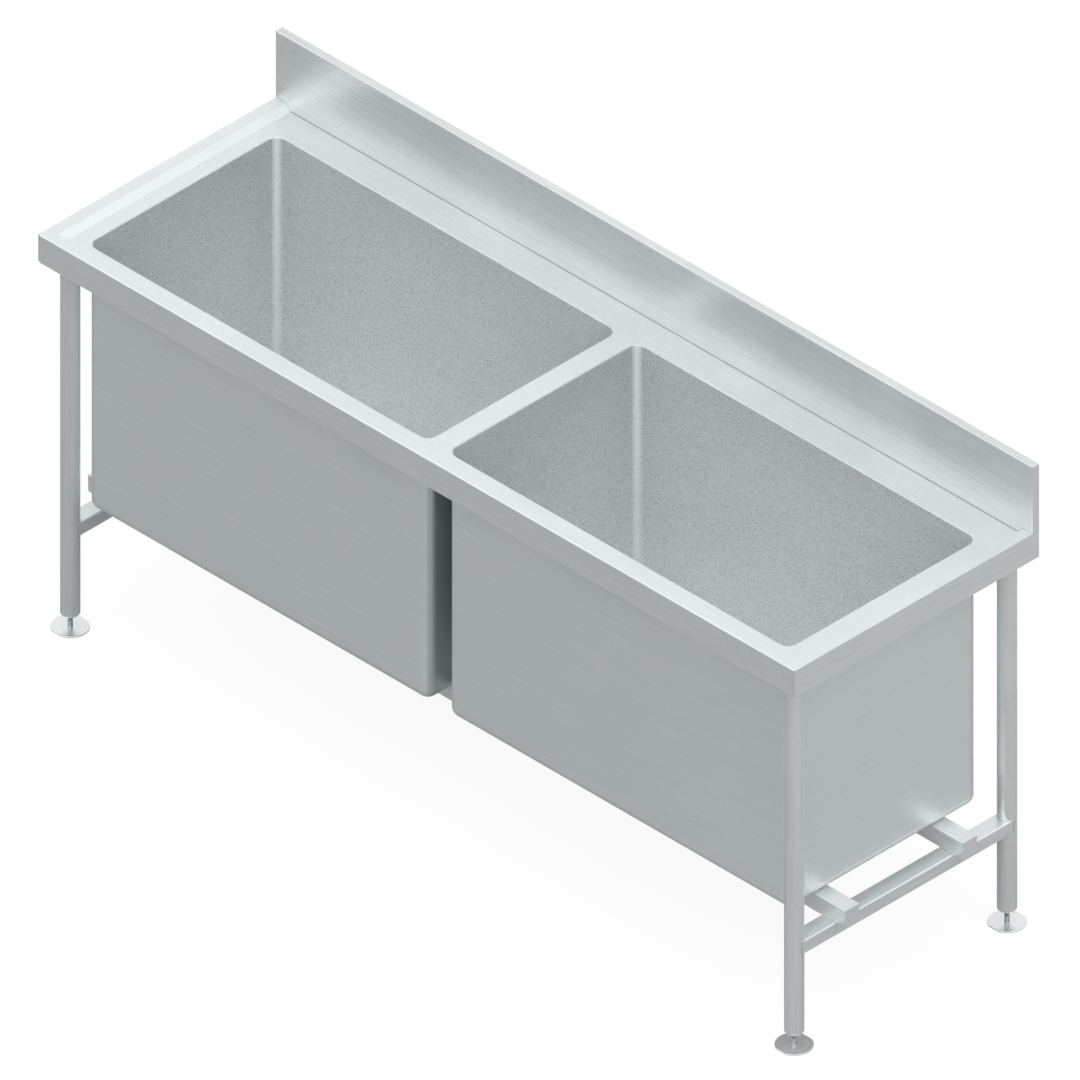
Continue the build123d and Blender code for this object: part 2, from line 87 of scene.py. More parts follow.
def add_node(tree: bpy.types.NodeTree, kind: str, values: Mapping[Any, Any] | None = None,
             links: Mapping[Any, bpy.types.NodeSocket] | None = None, **settings: Any) -> bpy.types.Node:
    """Adds one node, with its settings, its input values and the links into it.

    Args:
        tree: the node tree that takes the node.
        kind: the node's type name.
        values: input name or number, and its value.
        links: input name or number, and the output that feeds it.
        **settings: the node's own properties.

    Returns:
        The new node.
    """
    node = tree.nodes.new(kind)
    for name, value in settings.items():
        setattr(node, name, value)
    for key, value in (values or {}).items():
        node.inputs[key].default_value = value
    for key, socket in (links or {}).items():
        tree.links.new(socket, node.inputs[key])
    return node


def middle(node: str) -> Vector:
    """The middle of a CAD node's box, in metres."""
    low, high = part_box(node)
    return (low + high) / 2


def new_object(name: str, data: bpy.types.ID) -> bpy.types.Object:
    """Puts something new into the scene.

    Args:
        name: the object's name.
        data: its mesh, lamp or camera.

    Returns:
        The object.
    """
    piece = bpy.data.objects.new(name, data)
    bpy.context.scene.collection.objects.link(piece)
    return piece


def new_material(name: str) -> bpy.types.Material:
    """Makes a material with an empty node tree.

    Args:
        name: the material's name.

    Returns:
        The material.
    """
    material = bpy.data.materials.new(name)
    material.use_nodes = True
    material.node_tree.nodes.clear()
    return material


def lathe(name: str, outline: Sequence[tuple[float, float]], axis: tuple[float, float],
          facets: int) -> bpy.types.Mesh:
    """Turns an outline about an upright axis.

    Args:
        name: the mesh's name.
        outline: (radius, height) points in millimetres; one that starts on the axis is solid, and any
            other is closed into a ring.
        axis: where the axis stands, in metres.
        facets: points round the axis.

    Returns:
        The mesh, in metres, its rings in the outline's order.
    """
    points: list[Point] = []
    rings: list[list[int]] = []
    for radius, height in outline:
        count = facets if radius > 0 else 1
        rings.append([len(points) + i for i in range(count)])
        for i in range(count):
            turn = math.tau * i / facets
            points.append((axis[0] + radius * MM * math.cos(turn),
                           axis[1] + radius * MM * math.sin(turn), height * MM))
    pairs = list(zip(rings, rings[1:]))
    if outline[0][0] > 0:
        pairs.append((rings[-1], rings[0]))
    faces: list[tuple[int, ...]] = []
    for lower, upper in pairs:
        for i in range(facets):
            ahead = (i + 1) % facets
            corners = [lower[i % len(lower)], lower[ahead % len(lower)],
                       upper[ahead % len(upper)], upper[i % len(upper)]]
            faces.append(tuple(dict.fromkeys(corners)))
    mesh = bpy.data.meshes.new(name)
    mesh.from_pydata(points, [], faces)
    shell = bmesh.new()
    shell.from_mesh(mesh)
    bmesh.ops.recalc_face_normals(shell, faces=shell.faces)
    shell.to_mesh(mesh)
    shell.free()
    return mesh


# Finishes

class Grain(Enum):
    """The way the polishing lines run, as the length of the pattern along X, Y and Z in millimetres."""

    ALONG_X = (160.0, 2.6, 2.6)
    ALONG_Y = (2.6, 160.0, 2.6)
    ALONG_Z = (2.6, 2.6, 160.0)
    LEVEL = (160.0, 160.0, 2.6)


@dataclass(frozen=True)
class Steel:
    """Austenitic stainless steel, and what all its finishes share.

    The metal is a pale, slightly cool grey. A finish of it has some share of scattered light,
    because the fine scratches of the belt send light back in every direction. That share is what
    keeps the unit's big flat sheets as even as they are in the photograph.
    """

    name: str
    colour: str = "#eef3f3"
    shade: str = "#dde2e2"
    metallic: float = 0.8
    roughness: float = 0.36
    spread: float = 0.04                 # of the roughness, either way
    relief: float = 0.05
    mark_size: float = 1.5               # millimetres
    mark_depth: float = 0.2              # millimetres
    cloud: float = 0.15                  # share of the broad, faint clouds in the tone
    cloud_size: float = 200.0            # millimetres
    noise_span: tuple[float, float] = (0.35, 0.65)   # the noise that gives the shade and the colour

    def pattern(self, tree: bpy.types.NodeTree, place: bpy.types.Node) -> bpy.types.NodeSocket:
        """Draws the surface's marks.

        Args:
            tree: the material's tree.
            place: its texture coordinates.

        Returns:
            The height of the marks, from 0 to 1.
        """
        fine = add_node(tree, "ShaderNodeTexNoise", {"Scale": 1 / (self.mark_size * MM), "Detail": 2.0},
                        {"Vector": place.outputs["Object"]})
        return fine.outputs["Fac"]

    def adjust(self, tree: bpy.types.NodeTree, place: bpy.types.Node, shader: bpy.types.Node) -> None:
        """Changes the shader where the surface isn't the same all over."""

    def build(self) -> bpy.types.Material:
        """Makes the material.

        Returns:
            The material, ready for a slot.
        """
        material = new_material(self.name)
        tree = material.node_tree
        place = add_node(tree, "ShaderNodeTexCoord")
        marks = self.pattern(tree, place)
        broad = add_node(tree, "ShaderNodeTexNoise", {"Scale": 1 / (self.cloud_size * MM), "Detail": 2.0},
                         {"Vector": place.outputs["Object"]})
        blend = add_node(tree, "ShaderNodeMix", {"Factor": self.cloud},
                         {"A": marks, "B": broad.outputs["Fac"]})
        even = add_node(tree, "ShaderNodeMapRange",
                        {"From Min": self.noise_span[0], "From Max": self.noise_span[1]},
                        {"Value": blend.outputs["Result"]})
        tone = add_node(tree, "ShaderNodeMix", {"A": linear(self.shade), "B": linear(self.colour)},
                        {"Factor": even.outputs["Result"]}, data_type="RGBA")
        low, high = self.roughness - self.spread, self.roughness + self.spread
        gloss = add_node(tree, "ShaderNodeMapRange", {"To Min": low, "To Max": high},
                         {"Value": even.outputs["Result"]})
        bump = add_node(tree, "ShaderNodeBump", {"Strength": self.relief, "Distance": self.mark_depth * MM},
                        {"Height": marks})
        shader = add_node(tree, "ShaderNodeBsdfPrincipled", {"Metallic": self.metallic},
                          {"Base Color": tone.outputs[2], "Roughness": gloss.outputs["Result"],
                           "Normal": bump.outputs["Normal"]})
        self.adjust(tree, place, shader)
        add_node(tree, "ShaderNodeOutputMaterial", None, {"Surface": shader.outputs["BSDF"]})
        return material


@dataclass(frozen=True)
class BeltPolished(Steel):
    """Cold rolled sheet or tube, belt polished: a soft, even sheen with fine lines along its length.

    The lines of a real satin belt are under 0.1 mm wide. They are drawn 2.6 mm wide, so that they
    show at the scale of the picture.
    """

    grain: Grain = Grain.ALONG_X
    speckle: float = 0.4                 # share of the specks where the lines break up
    speck_size: float = 3.5              # millimetres

    def pattern(self, tree: bpy.types.NodeTree, place: bpy.types.Node) -> bpy.types.NodeSocket:
        """Draws long thin lines.

        Args:
            tree: the material's tree.
            place: its texture coordinates.

        Returns:
            The height of the lines, from 0 to 1.
        """
        scale = tuple(1 / (size * MM) for size in self.grain.value)
        lines = add_node(tree, "ShaderNodeMapping", {"Scale": scale}, {"Vector": place.outputs["Object"]})
        fine = add_node(tree, "ShaderNodeTexNoise", {"Scale": 1.0, "Detail": 3.0, "Roughness": 0.6},
                        {"Vector": lines.outputs["Vector"]})
        specks = add_node(tree, "ShaderNodeTexNoise",
                          {"Scale": 1 / (self.speck_size * MM), "Detail": 2.0, "Roughness": 0.8},
                          {"Vector": place.outputs["Object"]})
        both = add_node(tree, "ShaderNodeMix", {"Factor": self.speckle},
                        {"A": fine.outputs["Fac"], "B": specks.outputs["Fac"]})
        return both.outputs["Result"]


@dataclass(frozen=True)
class BowlPolished(BeltPolished):
    """Welded bowl, polished by hand inside: speckled and more scattering inside than outside.

    Its inside is painted paler than its outside, as painted light. The inside is told from the outside
    by the way the surface faces: towards the middle of the bowl, or away from it. The specks are drawn
    about 2 mm wide, so that they show. Inside, painted shade darkens the walls towards the lip and the
    end walls, and leaves the rounded corners brighter, as a painted highlight. The walls between the two
    bowls are darkened outside by painted shade.
    """

    centre: Point = (0.0, 0.0, 0.0)
    # A paler tone than the other steel: painted light on the deep inside, taken back down outside by
    # outer_colour.
    colour: str = "#feffff"
    shade: str = "#f2f5f5"
    edge: float = 1.0                    # millimetres over which the inside turns into the outside
    inner_metallic: float = 0.1
    corner_start: float = 0.3            # product of the normal's X and Y where a corner starts
    corner_full: float = 0.5
    corner_keep: float = 0.35            # share of the painted shade that stays in the middle of a corner; the rest shows as a painted highlight
    bowl_speck: float = 2.2              # millimetres
    bowl_speck_colour: str = "#b0b6b6"
    bowl_speck_span: tuple[float, float] = (0.5, 0.64)   # the noise where a speck starts and is full
    speck_turn: Point = (0.6, 0.4, 0.2)  # askew to the walls, so that every wall shows the specks alike
    # Painted shade: the inside darkens towards the lip.
    lip_colour: str = "#c7caca"
    lip_height: float = 870.0            # millimetres above the floor
    deep_height: float = 420.0           # where the painted shade towards the lip starts
    # Painted shade on the inside end walls, the ones that face along X.
    end_colour: str = "#f0f2f2"
    # the outside's tone, darker than the inside, which is left paler as painted light
    outer_colour: str = "#edf1f1"
    # Painted shade on the outside walls between the two bowls.
    gap_colour: str = "#dde0e0"
    gap_width: float = 60.0              # millimetres
    gap_edge: float = 5.0

    def adjust(self, tree: bpy.types.NodeTree, place: bpy.types.Node, shader: bpy.types.Node) -> None:
        """Lets the inside scatter more light, darkens it in specks, and paints shade on it towards the lip
        and on the end walls, spared at the rounded corners as a painted highlight.

        The walls that face the other bowl are darkened outside by painted shade.

        Args:
            tree: the material's tree.
            place: its texture coordinates.
            shader: the steel's shader.
        """
        reach = add_node(tree, "ShaderNodeVectorMath", {1: self.centre}, {0: place.outputs["Object"]},
                         operation="SUBTRACT")
        facing = add_node(tree, "ShaderNodeVectorMath", None,
                          {0: reach.outputs["Vector"], 1: place.outputs["Normal"]}, operation="DOT_PRODUCT")
        outer = add_node(tree, "ShaderNodeMapRange",
                         {"From Min": -self.edge * MM, "From Max": self.edge * MM},
                         {"Value": facing.outputs["Value"]}).outputs["Result"]
        inside = add_node(tree, "ShaderNodeMath", {0: 1.0}, {1: outer}, operation="SUBTRACT").outputs[0]
        spot = add_node(tree, "ShaderNodeSeparateXYZ", None, {0: place.outputs["Object"]})
        # Painted shade towards the lip: none below deep_height, full at lip_height.
        lip = add_node(tree, "ShaderNodeMapRange",
                       {"From Min": self.deep_height * MM, "From Max": self.lip_height * MM},
                       {"Value": spot.outputs[2]})
        offset = add_node(tree, "ShaderNodeMath", None, {0: spot.outputs[0]}, operation="ABSOLUTE")
        # Painted shade between the bowls: full near the middle, fading out towards the bowls' ends.
        gap = add_node(tree, "ShaderNodeMapRange",
                       {"From Min": self.gap_width / 2 * MM,
                        "From Max": (self.gap_width / 2 + self.gap_edge) * MM,
                        "To Min": 1.0, "To Max": 0.0},
                       {"Value": offset.outputs[0]})
        turned = add_node(tree, "ShaderNodeSeparateXYZ", None, {0: place.outputs["Normal"]})
        # Painted shade on the end walls grows with how far the wall faces along X.
        end = add_node(tree, "ShaderNodeMath", None, {0: turned.outputs[0]}, operation="ABSOLUTE")
        askew = add_node(tree, "ShaderNodeMapping", {"Rotation": self.speck_turn},
                         {"Vector": place.outputs["Object"]})
        noise = add_node(tree, "ShaderNodeTexNoise",
                         {"Scale": 1 / (self.bowl_speck * MM), "Detail": 2.0, "Roughness": 0.8},
                         {"Vector": askew.outputs["Vector"]})
        specks = add_node(tree, "ShaderNodeMapRange",
                          {"From Min": self.bowl_speck_span[0], "From Max": self.bowl_speck_span[1]},
                          {"Value": noise.outputs["Fac"]})
        slant = add_node(tree, "ShaderNodeMath", None, {0: turned.outputs[0], 1: turned.outputs[1]},
                         operation="MULTIPLY")
        corner = add_node(tree, "ShaderNodeMath", None, {0: slant.outputs[0]}, operation="ABSOLUTE")
        # Spares the corners of the painted shade, which leaves them as a painted highlight.
        keep = add_node(tree, "ShaderNodeMapRange",
                        {"From Min": self.corner_start, "From Max": self.corner_full,
                         "To Min": 1.0, "To Max": self.corner_keep},
                        {"Value": corner.outputs[0]})
        inner = add_node(tree, "ShaderNodeMath", None, {0: inside, 1: keep.outputs["Result"]},
                         operation="MULTIPLY").outputs[0]
        base = shader.inputs["Base Color"].links[0].from_socket
        # Each share darkens the tone: painted shade towards the lip and on the end walls inside, darker
        # specks inside, the outside's own tone, and painted shade between the bowls.
        for share, side, colour in ((lip.outputs["Result"], inner, self.lip_colour),
                                    (end.outputs[0], inner, self.end_colour),
                                    (specks.outputs["Result"], inner, self.bowl_speck_colour),
                                    (outer, outer, self.outer_colour),
                                    (gap.outputs["Result"], outer, self.gap_colour)):
            amount = add_node(tree, "ShaderNodeMath", None, {0: share, 1: side}, operation="MULTIPLY")
            base = add_node(tree, "ShaderNodeMix", {"B": linear(colour)},
                            {"Factor": amount.outputs[0], "A": base}, data_type="RGBA",
                            blend_type="MULTIPLY").outputs[2]
        tree.links.new(base, shader.inputs["Base Color"])
        level = add_node(tree, "ShaderNodeMapRange",
                         {"To Min": self.inner_metallic, "To Max": self.metallic}, {"Value": outer})
        tree.links.new(level.outputs["Result"], shader.inputs["Metallic"])


@dataclass(frozen=True)
class MillRolled(Steel):
    """Sheet and hot formed cups as they leave the mill: dull, with a fine even grain and no lines."""

    colour: str = "#dadfdf"
    shade: str = "#cfd5d5"
    roughness: float = 0.5


@dataclass(frozen=True)
class Turned(Steel):
    """Steel off the lathe: bright, with fine rings about its own axis.

    A finishing cut leaves rings about 0.2 mm apart. They are drawn 0.9 mm apart.
    """

    metallic: float = 0.9
    roughness: float = 0.28
    axis: Point = (0.0, 0.0, 0.0)
    spacing: float = 0.9                 # millimetres

    def pattern(self, tree: bpy.types.NodeTree, place: bpy.types.Node) -> bpy.types.NodeSocket:
        """Draws rings about the axis.

        Args:
            tree: the material's tree.
            place: its texture coordinates.

        Returns:
            The height of the rings, from 0 to 1.
        """
        off = tuple(-value for value in self.axis)
        local = add_node(tree, "ShaderNodeMapping", {"Location": off}, {"Vector": place.outputs["Object"]})
        parts = add_node(tree, "ShaderNodeSeparateXYZ", None, {0: local.outputs["Vector"]})
        flat = add_node(tree, "ShaderNodeCombineXYZ", None, {0: parts.outputs[0], 1: parts.outputs[1]})
        radius = add_node(tree, "ShaderNodeVectorMath", None, {0: flat.outputs[0]}, operation="LENGTH")
        rings = add_node(tree, "ShaderNodeCombineXYZ", None,
                         {0: radius.outputs["Value"], 1: parts.outputs[2]})
        fine = add_node(tree, "ShaderNodeTexNoise", {"Scale": 1 / (self.spacing * MM), "Detail": 1.0},
                        {"Vector": rings.outputs[0]})
        return fine.outputs["Fac"]


@dataclass(frozen=True)
class WeldMetal(Steel):
    """Bare weld, pickled after welding: rougher and a little greyer than the polished steel."""

    colour: str = "#d3d8d9"
    shade: str = "#c2c8ca"
    metallic: float = 1.0
    roughness: float = 0.42
    spread: float = 0.08
    relief: float = 0.2


@dataclass(frozen=True)
class MouldedRubber:
    """Nitrile rubber from a mould: black and matt, with a faint grain."""

    name: str
    colour: str = "#191a1a"
    roughness: float = 0.7
    ior: float = 1.52
    relief: float = 0.15
    grain: float = 0.6                   # millimetres
    grain_depth: float = 0.1             # millimetres

    def build(self) -> bpy.types.Material:
        """Makes the material.

        Returns:
            The material, ready for a slot.
        """
        material = new_material(self.name)
        tree = material.node_tree
        place = add_node(tree, "ShaderNodeTexCoord")
        grain = add_node(tree, "ShaderNodeTexNoise", {"Scale": 1 / (self.grain * MM), "Detail": 2.0},
                         {"Vector": place.outputs["Object"]})
        bump = add_node(tree, "ShaderNodeBump",
                        {"Strength": self.relief, "Distance": self.grain_depth * MM},
                        {"Height": grain.outputs["Fac"]})
        shader = add_node(tree, "ShaderNodeBsdfPrincipled",
                          {"Base Color": linear(self.colour), "Roughness": self.roughness, "IOR": self.ior},
                          {"Normal": bump.outputs["Normal"]})
        add_node(tree, "ShaderNodeOutputMaterial", None, {"Surface": shader.outputs["BSDF"]})
        return material


def dress(nodes: Nodes, finish: bpy.types.Material, names: Iterable[str]) -> None:
    """Gives CAD nodes a finish.

    Args:
        nodes: all the nodes of the frame.
        finish: the material.
        names: the names of the nodes that take it.
    """
    for name in names:
        for slot in nodes[name].material_slots:
            slot.material = finish


# Geometry node trees

class ShapeTree:
    """A geometry node tree with named inputs, which ends in real faces with a material."""

    name = "shape"
    inputs: Mapping[str, tuple[str, Any]] = {}
    sharp_angle: float = 40.0            # degrees, from which an edge stays sharp

    def __init__(self) -> None:
        """Makes the tree's inputs and output, and lets the kind of tree add its own nodes."""
        self.tree = bpy.data.node_groups.new(self.name, "GeometryNodeTree")
        sockets = self.tree.interface
        sockets.new_socket("Geometry", in_out="INPUT", socket_type="NodeSocketGeometry")
        for label, (kind, value) in self.inputs.items():
            sockets.new_socket(label, in_out="INPUT", socket_type=kind).default_value = value
        sockets.new_socket("Material", in_out="INPUT", socket_type="NodeSocketMaterial")
        sockets.new_socket("Geometry", in_out="OUTPUT", socket_type="NodeSocketGeometry")
        given = add_node(self.tree, "NodeGroupInput")
        real = add_node(self.tree, "GeometryNodeRealizeInstances", None, {0: self.shape(given.outputs)})
        skin = add_node(self.tree, "GeometryNodeSetMaterial", None,
                        {"Geometry": real.outputs[0], "Material": given.outputs["Material"]})
        add_node(self.tree, "NodeGroupOutput", None, {0: skin.outputs[0]})

    def shape(self, given: Any) -> bpy.types.NodeSocket:
        """Adds the nodes between the inputs and the output, and returns the last geometry."""
        raise NotImplementedError

    def apply(self, piece: bpy.types.Object, finish: bpy.types.Material, values: Mapping[str, Any]) -> None:
        """Runs the tree on a piece and keeps the result as its plain mesh.

        Args:
            piece: the object that the tree works on.
            finish: the material of the result.
            values: the inputs' names and values.
        """
        work = piece.modifiers.new(self.name, "NODES")
        work.node_group = self.tree
        for entry in self.tree.interface.items_tree:
            if entry.in_out == "INPUT" and entry.name in (*values, "Material"):
                work[entry.identifier] = finish if entry.name == "Material" else values[entry.name]
        seen = piece.evaluated_get(bpy.context.evaluated_depsgraph_get())
        mesh = bpy.data.meshes.new_from_object(seen)
        piece.modifiers.remove(work)
        mesh.name = piece.name
        piece.data = mesh
        mesh.shade_smooth()
        mesh.set_sharp_from_angle(angle=math.radians(self.sharp_angle))


class ThreadTree(ShapeTree):
    """Cuts a right-handed screw thread into the outer wall of a turned piece."""

    name = "screw_thread"
    flank: tuple[float, float] = (0.06, 0.42)   # where a flank starts and ends, in turns from the crest
    inputs = {
        "Axis": ("NodeSocketVector", (0.0, 0.0, 0.0)),
        "Pitch": ("NodeSocketFloat", 1.5 * MM),
        "Depth": ("NodeSocketFloat", 0.9 * MM),
        "Low": ("NodeSocketFloat", 0.0),
        "High": ("NodeSocketFloat", 0.1),
        "Inner Radius": ("NodeSocketFloat", 0.0),
    }

    def shape(self, given: Any) -> bpy.types.NodeSocket:
        """Moves the wall's points inwards in the groove.

        Args:
            given: the tree's inputs.

        Returns:
            The threaded geometry.
        """
        tree = self.tree
        spot = add_node(tree, "GeometryNodeInputPosition")
        local = add_node(tree, "ShaderNodeVectorMath", None, {0: spot.outputs[0], 1: given["Axis"]},
                         operation="SUBTRACT")
        parts = add_node(tree, "ShaderNodeSeparateXYZ", None, {0: local.outputs[0]})
        flat = add_node(tree, "ShaderNodeCombineXYZ", None, {0: parts.outputs[0], 1: parts.outputs[1]})
        radius = add_node(tree, "ShaderNodeVectorMath", None, {0: flat.outputs[0]}, operation="LENGTH")
        outwards = add_node(tree, "ShaderNodeVectorMath", None, {0: flat.outputs[0]}, operation="NORMALIZE")
        angle = add_node(tree, "ShaderNodeMath", None, {0: parts.outputs[1], 1: parts.outputs[0]},
                         operation="ARCTAN2")
        turn = add_node(tree, "ShaderNodeMath", {1: math.tau}, {0: angle.outputs[0]}, operation="DIVIDE")
        rise = add_node(tree, "ShaderNodeMath", None, {0: parts.outputs[2], 1: given["Pitch"]},
                        operation="DIVIDE")
        phase = add_node(tree, "ShaderNodeMath", None, {0: rise.outputs[0], 1: turn.outputs[0]},
                         operation="SUBTRACT")
        wave = add_node(tree, "ShaderNodeMath", {1: 0.5}, {0: phase.outputs[0]}, operation="PINGPONG")
        groove = add_node(tree, "ShaderNodeMapRange", {"From Min": self.flank[0], "From Max": self.flank[1]},
                          {"Value": wave.outputs[0]})
        above = add_node(tree, "ShaderNodeMath", None, {0: parts.outputs[2], 1: given["Low"]},
                         operation="SUBTRACT")
        below = add_node(tree, "ShaderNodeMath", None, {0: given["High"], 1: parts.outputs[2]},
                         operation="SUBTRACT")
        room = add_node(tree, "ShaderNodeMath", None, {0: above.outputs[0], 1: below.outputs[0]},
                        operation="MINIMUM")
        fade = add_node(tree, "ShaderNodeMath", None, {0: room.outputs[0], 1: given["Pitch"]},
                        operation="DIVIDE", use_clamp=True)
        wall = add_node(tree, "ShaderNodeMath", None, {0: radius.outputs["Value"], 1: given["Inner Radius"]},
                        operation="GREATER_THAN")
        amount = fade.outputs[0]
        for factor in (groove.outputs["Result"], wall.outputs[0], given["Depth"]):
            amount = add_node(tree, "ShaderNodeMath", None, {0: amount, 1: factor},
                              operation="MULTIPLY").outputs[0]
        inwards = add_node(tree, "ShaderNodeMath", {1: -1.0}, {0: amount}, operation="MULTIPLY")
        shift = add_node(tree, "ShaderNodeVectorMath", None,
                         {0: outwards.outputs[0], "Scale": inwards.outputs[0]}, operation="SCALE")
        cut = add_node(tree, "GeometryNodeSetPosition", None,
                       {"Geometry": given["Geometry"], "Offset": shift.outputs[0]})
        return cut.outputs[0]


class WeldTree(ShapeTree):
    """Lays a weld bead with its scale-like ripples along every line of a wire."""

    name = "weld_bead"
    bead_facets: int = 8                 # points round the bead
    inputs = {
        "Bead Radius": ("NodeSocketFloat", 1.2 * MM),
        "Ripple": ("NodeSocketFloat", 2.0 * MM),
        "Ripple Depth": ("NodeSocketFloat", 0.1),
        "Unevenness": ("NodeSocketFloat", 0.06),
        "Step": ("NodeSocketFloat", 0.5 * MM),
        "Seed": ("NodeSocketInt", 7),
    }

    def shape(self, given: Any) -> bpy.types.NodeSocket:
        """Sweeps a small circle along the lines.

        Args:
            given: the tree's inputs.

        Returns:
            The beads.
        """
        tree = self.tree
        line = add_node(tree, "GeometryNodeMeshToCurve", None, {0: given["Geometry"]})
        even = add_node(tree, "GeometryNodeResampleCurve", None,
                        {"Curve": line.outputs[0], "Length": given["Step"]}, mode="LENGTH")
        along = add_node(tree, "GeometryNodeSplineParameter")
        turns = add_node(tree, "ShaderNodeMath", None, {0: along.outputs["Length"], 1: given["Ripple"]},
                         operation="DIVIDE")
        angle = add_node(tree, "ShaderNodeMath", {1: math.tau}, {0: turns.outputs[0]}, operation="MULTIPLY")
        wave = add_node(tree, "ShaderNodeMath", None, {0: angle.outputs[0]}, operation="SINE")
        swell = add_node(tree, "ShaderNodeMath", {2: 1.0},
                         {0: wave.outputs[0], 1: given["Ripple Depth"]}, operation="MULTIPLY_ADD")
        chance = add_node(tree, "FunctionNodeRandomValue", {2: -1.0, 3: 1.0}, {"Seed": given["Seed"]})
        size = add_node(tree, "ShaderNodeMath", None,
                        {0: chance.outputs[1], 1: given["Unevenness"], 2: swell.outputs[0]},
                        operation="MULTIPLY_ADD")
        ring = add_node(tree, "GeometryNodeCurvePrimitiveCircle", {"Resolution": self.bead_facets},
                        {"Radius": given["Bead Radius"]})
        bead = add_node(tree, "GeometryNodeCurveToMesh", {"Fill Caps": True},
                        {"Curve": even.outputs[0], "Profile Curve": ring.outputs[0],
                         "Scale": size.outputs[0]})
        return bead.outputs[0]


# Sub-assemblies

@dataclass
class Sheets:
    """The folded top, the splashback and the plates at their ends. Sizes are in millimetres."""

    border: float = 26.5                 # the level part of the raised border
    slope: float = 13.0                  # how wide the slope to the deck is
    drop: float = 13.0                   # and how high
    seam_radius: float = 0.9
    seam_sink: float = 0.5               # how far the seam's middle lies below the sheet
    seam_step: float = 1.0

    def seam(self, tree: WeldTree, finish: bpy.types.Material) -> bpy.types.Object:
        """Lays the seam where the top meets the foot of the splashback, from end to end.

        Args:
            tree: the weld's tree.
            finish: the weld metal, darker by painted shade.

        Returns:
            The seam.
        """
        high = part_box("sink_top")[1]
        rim, deck = high.z - self.seam_sink * MM, high.z - (self.drop + self.seam_sink) * MM
        crest, foot = self.border * MM, (self.border + self.slope) * MM
        left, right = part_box("end_plate_left")[0].x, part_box("end_plate_right")[1].x
        line = [(left + self.seam_radius * MM, rim), (left + crest, rim), (left + foot, deck),
                (right - foot, deck), (right - crest, rim), (right - self.seam_radius * MM, rim)]
        mesh = bpy.data.meshes.new("splash_seam")
        mesh.from_pydata([(x, high.y, z) for x, z in line], [(i, i + 1) for i in range(len(line) - 1)], [])
        seam = new_object("splash_seam", mesh)
        tree.apply(seam, finish, {"Bead Radius": self.seam_radius * MM, "Step": self.seam_step * MM})
        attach(seam, "frame")
        LOG.info("splash_seam: %d faces", len(seam.data.polygons))
        return seam

    def dress(self, nodes: Nodes) -> None:
        """Polishes the sheets along their length, and the end plates along theirs.

        Args:
            nodes: all the nodes of the frame.
        """
        dress(nodes, BeltPolished("satin_stainless_sheet").build(), ["sink_top"])
        back = BeltPolished("satin_stainless_splashback", metallic=0.6, colour="#e4e8e8", shade="#c4c9c9",
                            speckle=0.6, speck_size=2.2)
        dress(nodes, back.build(), ["splashback"])
        plates = BeltPolished("satin_stainless_end_plate", grain=Grain.ALONG_Y).build()
        dress(nodes, plates, [f"end_plate_{side}" for side in SIDES])
        LOG.info("top, splashback and end plates: satin sheet")


